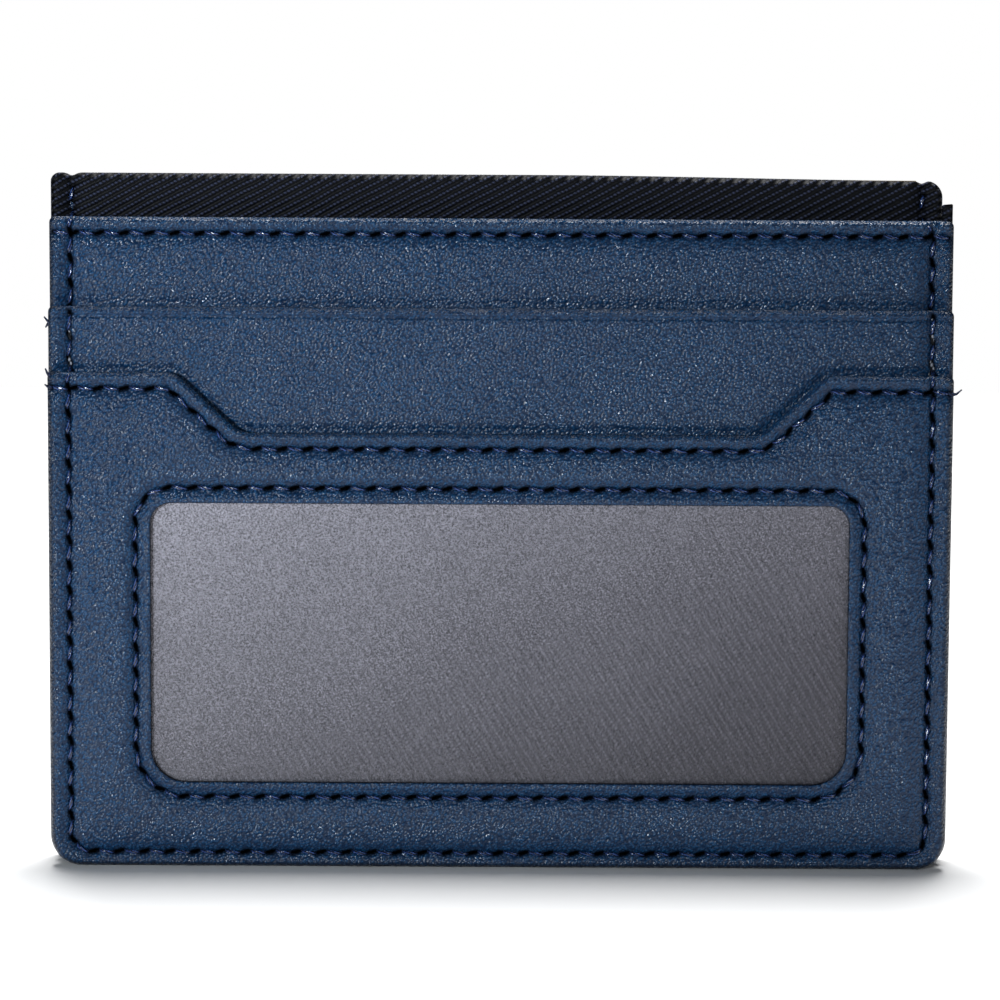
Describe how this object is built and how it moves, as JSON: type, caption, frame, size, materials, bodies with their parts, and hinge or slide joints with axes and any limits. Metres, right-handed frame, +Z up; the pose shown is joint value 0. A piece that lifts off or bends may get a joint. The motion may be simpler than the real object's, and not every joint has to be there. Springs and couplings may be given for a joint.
{
  "type": "card holder",
  "caption": "Flat leather card holder with a framed identity window, a finger cutout, stepped card pockets and an open centre compartment lined in dark twill.",
  "frame": {"origin": "centre of the holder's footprint, on the surface that its bottom edge stands on", "axes": "+Z up, towards the pockets' mouths; -Y is the front, with the window; +X to the right seen from the front"},
  "size_m": [0.102, 0.0072, 0.0786],
  "materials": {
    "leather": "fine pebbled grain, semi-matt navy, turned edges",
    "twill": "matt black twill weave",
    "film": "frosted flexible film",
    "board": "unfinished fibre board, hidden",
    "thread": "twisted navy polyester thread with a slight sheen"
  },
  "bodies": {
    "root": {"window_panel": "leather", "window_panel_hem": "leather", "window_film": "film", "middle_panel": "leather", "middle_backing": "twill", "middle_backing_hem": "twill", "upper_panel": "leather", "front_board": "board", "front_lining": "twill", "rear_lining": "twill", "rear_lining_hem": "twill", "rear_board": "board", "rear_panel": "leather", "window_stitching": "thread", "cutout_stitching": "thread", "upper_edge_stitching": "thread", "front_seam_stitching": "thread", "rear_seam_stitching": "thread"}
  },
  "joints": []
}
